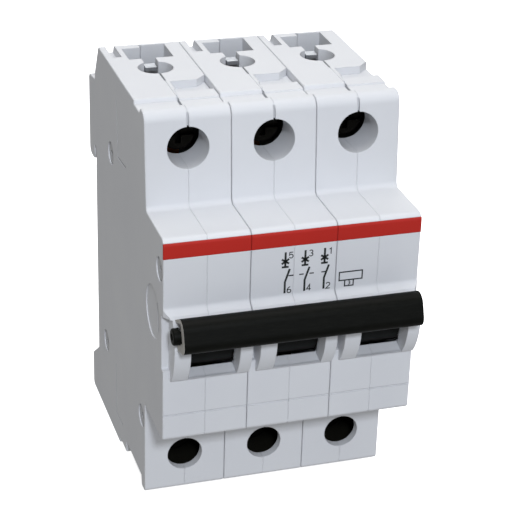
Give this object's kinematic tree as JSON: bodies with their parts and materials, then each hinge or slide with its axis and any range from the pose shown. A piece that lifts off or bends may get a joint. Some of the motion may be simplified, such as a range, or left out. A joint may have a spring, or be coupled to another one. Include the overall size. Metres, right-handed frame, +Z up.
{
  "type": "circuit breaker",
  "caption": "Rail-mounted miniature circuit breaker with linked toggle handles, screw clamp terminals, a rail hook with sliding clips and a working switching mechanism.",
  "frame": {"origin": "on the face that seats on the rail, at the rail's centre line, in the middle of the width", "axes": "+X across the poles, the front looks along -Y, +Z up along the incoming to outgoing terminals"},
  "size_m": [0.0524, 0.0749, 0.0877],
  "materials": {
    "shell_plastic": "moulded light grey, fine satin",
    "handle_plastic": "moulded black, satin",
    "stripe_enamel": "red, satin",
    "spring_steel": "drawn wire",
    "copper": "stamped copper",
    "zinc_steel": "zinc plated",
    "bimetal": "rolled strip",
    "clip_plastic": "moulded dark grey",
    "screw_steel": "zinc plated, driver marks",
    "cage_steel": "zinc plated",
    "trip_plastic": "moulded",
    "rivet_steel": "zinc plated"
  },
  "bodies": {
    "housing": {"pole_1_shell_left": "shell_plastic", "pole_1_shell_right": "shell_plastic", "fixed_contact_1": "copper", "upper_terminal_plate_1": "copper", "trip_coil_1": "copper", "coil_yoke_1": "zinc_steel", "bimetal_strip_1": "bimetal", "arc_chute_1": "zinc_steel", "pole_2_shell_left": "shell_plastic", "pole_2_shell_right": "shell_plastic", "fixed_contact_2": "copper", "upper_terminal_plate_2": "copper", "trip_coil_2": "copper", "coil_yoke_2": "zinc_steel", "bimetal_strip_2": "bimetal", "arc_chute_2": "zinc_steel", "pole_3_shell_left": "shell_plastic", "pole_3_shell_right": "shell_plastic", "fixed_contact_3": "copper", "upper_terminal_plate_3": "copper", "trip_coil_3": "copper", "coil_yoke_3": "zinc_steel", "bimetal_strip_3": "bimetal", "arc_chute_3": "zinc_steel", "pivot_pins": "screw_steel", "front_stripes": "stripe_enamel", "handle_springs": "spring_steel", "contact_springs": "spring_steel", "lower_terminal_plates": "copper", "rivets": "rivet_steel"},
    "handle": {"handle_1": "handle_plastic", "handle_2": "handle_plastic", "handle_3": "handle_plastic", "handle_tie_bar": "handle_plastic", "tie_bar_pin": "handle_plastic"},
    "trip_shaft": {"trip_bar": "trip_plastic"},
    "link_1": {"link_1": "spring_steel"},
    "contact_arm_1": {"contact_arm_1": "copper"},
    "plunger_1": {"trip_plunger_1": "zinc_steel"},
    "rail_clip_1": {"rail_clip_1": "clip_plastic"},
    "upper_screw_1": {"upper_terminal_screw_1": "screw_steel"},
    "upper_cage_1": {"upper_clamp_cage_1": "cage_steel"},
    "lower_screw_1": {"lower_terminal_screw_1": "screw_steel"},
    "lower_cage_1": {"lower_clamp_cage_1": "cage_steel"},
    "link_2": {"link_2": "spring_steel"},
    "contact_arm_2": {"contact_arm_2": "copper"},
    "plunger_2": {"trip_plunger_2": "zinc_steel"},
    "rail_clip_2": {"rail_clip_2": "clip_plastic"},
    "upper_screw_2": {"upper_terminal_screw_2": "screw_steel"},
    "upper_cage_2": {"upper_clamp_cage_2": "cage_steel"},
    "lower_screw_2": {"lower_terminal_screw_2": "screw_steel"},
    "lower_cage_2": {"lower_clamp_cage_2": "cage_steel"},
    "link_3": {"link_3": "spring_steel"},
    "contact_arm_3": {"contact_arm_3": "copper"},
    "plunger_3": {"trip_plunger_3": "zinc_steel"},
    "rail_clip_3": {"rail_clip_3": "clip_plastic"},
    "upper_screw_3": {"upper_terminal_screw_3": "screw_steel"},
    "upper_cage_3": {"upper_clamp_cage_3": "cage_steel"},
    "lower_screw_3": {"lower_terminal_screw_3": "screw_steel"},
    "lower_cage_3": {"lower_clamp_cage_3": "cage_steel"}
  },
  "joints": [
    {"name": "handle_turn", "type": "hinge", "parent": "housing", "child": "handle", "pos_m": [0, -0.05, 0], "axis": [1, 0, 0], "range_deg": [0, 47]},
    {"name": "trip_shaft_turn", "type": "hinge", "parent": "housing", "child": "trip_shaft", "pos_m": [0, -0.0405, 0.015], "axis": [-1, 0, 0], "range_deg": [0, 12], "stiffness_Nm_per_rad": 0.002},
    {"name": "link_turn_1", "type": "hinge", "parent": "handle", "child": "link_1", "pos_m": [-0.0175, -0.04776, 0.00502], "axis": [1, 0, 0], "range_deg": [-47.5, 0]},
    {"name": "contact_turn_1", "type": "hinge", "parent": "housing", "child": "contact_arm_1", "pos_m": [-0.0175, -0.033, -0.009], "axis": [1, 0, 0], "range_deg": [0, 28.5]},
    {"name": "plunger_slide_1", "type": "slide", "parent": "housing", "child": "plunger_1", "axis": [0, -1, 0], "range_m": [0, 0.0025], "stiffness_N_per_m": 60},
    {"name": "rail_clip_slide_1", "type": "slide", "parent": "housing", "child": "rail_clip_1", "axis": [0, 0, -1], "range_m": [0, 0.003], "stiffness_N_per_m": 300},
    {"name": "upper_screw_turn_1", "type": "hinge", "parent": "housing", "child": "upper_screw_1", "pos_m": [-0.0175, -0.036, 0.0347], "axis": [0, 1, 0], "range_deg": [0, 2730]},
    {"name": "upper_cage_slide_1", "type": "slide", "parent": "housing", "child": "upper_cage_1", "axis": [0, -1, 0], "range_m": [0, 0.006]},
    {"name": "lower_screw_turn_1", "type": "hinge", "parent": "housing", "child": "lower_screw_1", "pos_m": [-0.0175, -0.036, -0.0352], "axis": [0, 1, 0], "range_deg": [0, 2730]},
    {"name": "lower_cage_slide_1", "type": "slide", "parent": "housing", "child": "lower_cage_1", "axis": [0, -1, 0], "range_m": [0, 0.006]},
    {"name": "link_turn_2", "type": "hinge", "parent": "handle", "child": "link_2", "pos_m": [0, -0.04776, 0.00502], "axis": [1, 0, 0], "range_deg": [-47.5, 0]},
    {"name": "contact_turn_2", "type": "hinge", "parent": "housing", "child": "contact_arm_2", "pos_m": [0, -0.033, -0.009], "axis": [1, 0, 0], "range_deg": [0, 28.5]},
    {"name": "plunger_slide_2", "type": "slide", "parent": "housing", "child": "plunger_2", "axis": [0, -1, 0], "range_m": [0, 0.0025], "stiffness_N_per_m": 60},
    {"name": "rail_clip_slide_2", "type": "slide", "parent": "housing", "child": "rail_clip_2", "axis": [0, 0, -1], "range_m": [0, 0.003], "stiffness_N_per_m": 300},
    {"name": "upper_screw_turn_2", "type": "hinge", "parent": "housing", "child": "upper_screw_2", "pos_m": [0, -0.036, 0.0347], "axis": [0, 1, 0], "range_deg": [0, 2730]},
    {"name": "upper_cage_slide_2", "type": "slide", "parent": "housing", "child": "upper_cage_2", "axis": [0, -1, 0], "range_m": [0, 0.006]},
    {"name": "lower_screw_turn_2", "type": "hinge", "parent": "housing", "child": "lower_screw_2", "pos_m": [0, -0.036, -0.0352], "axis": [0, 1, 0], "range_deg": [0, 2730]},
    {"name": "lower_cage_slide_2", "type": "slide", "parent": "housing", "child": "lower_cage_2", "axis": [0, -1, 0], "range_m": [0, 0.006]},
    {"name": "link_turn_3", "type": "hinge", "parent": "handle", "child": "link_3", "pos_m": [0.0175, -0.04776, 0.00502], "axis": [1, 0, 0], "range_deg": [-47.5, 0]},
    {"name": "contact_turn_3", "type": "hinge", "parent": "housing", "child": "contact_arm_3", "pos_m": [0.0175, -0.033, -0.009], "axis": [1, 0, 0], "range_deg": [0, 28.5]},
    {"name": "plunger_slide_3", "type": "slide", "parent": "housing", "child": "plunger_3", "axis": [0, -1, 0], "range_m": [0, 0.0025], "stiffness_N_per_m": 60},
    {"name": "rail_clip_slide_3", "type": "slide", "parent": "housing", "child": "rail_clip_3", "axis": [0, 0, -1], "range_m": [0, 0.003], "stiffness_N_per_m": 300},
    {"name": "upper_screw_turn_3", "type": "hinge", "parent": "housing", "child": "upper_screw_3", "pos_m": [0.0175, -0.036, 0.0347], "axis": [0, 1, 0], "range_deg": [0, 2730]},
    {"name": "upper_cage_slide_3", "type": "slide", "parent": "housing", "child": "upper_cage_3", "axis": [0, -1, 0], "range_m": [0, 0.006]},
    {"name": "lower_screw_turn_3", "type": "hinge", "parent": "housing", "child": "lower_screw_3", "pos_m": [0.0175, -0.036, -0.0352], "axis": [0, 1, 0], "range_deg": [0, 2730]},
    {"name": "lower_cage_slide_3", "type": "slide", "parent": "housing", "child": "lower_cage_3", "axis": [0, -1, 0], "range_m": [0, 0.006]}
  ],
  "couplings": [
    {"joint": "link_turn_1", "follows": "handle_turn", "ratio": -1},
    {"joint": "contact_turn_1", "follows": "handle_turn", "ratio": 0.6},
    {"joint": "upper_screw_turn_1", "follows": "upper_cage_slide_1", "rad_per_m": 7854},
    {"joint": "lower_screw_turn_1", "follows": "lower_cage_slide_1", "rad_per_m": 7854},
    {"joint": "link_turn_2", "follows": "handle_turn", "ratio": -1},
    {"joint": "contact_turn_2", "follows": "handle_turn", "ratio": 0.6},
    {"joint": "upper_screw_turn_2", "follows": "upper_cage_slide_2", "rad_per_m": 7854},
    {"joint": "lower_screw_turn_2", "follows": "lower_cage_slide_2", "rad_per_m": 7854},
    {"joint": "link_turn_3", "follows": "handle_turn", "ratio": -1},
    {"joint": "contact_turn_3", "follows": "handle_turn", "ratio": 0.6},
    {"joint": "upper_screw_turn_3", "follows": "upper_cage_slide_3", "rad_per_m": 7854},
    {"joint": "lower_screw_turn_3", "follows": "lower_cage_slide_3", "rad_per_m": 7854}
  ]
}
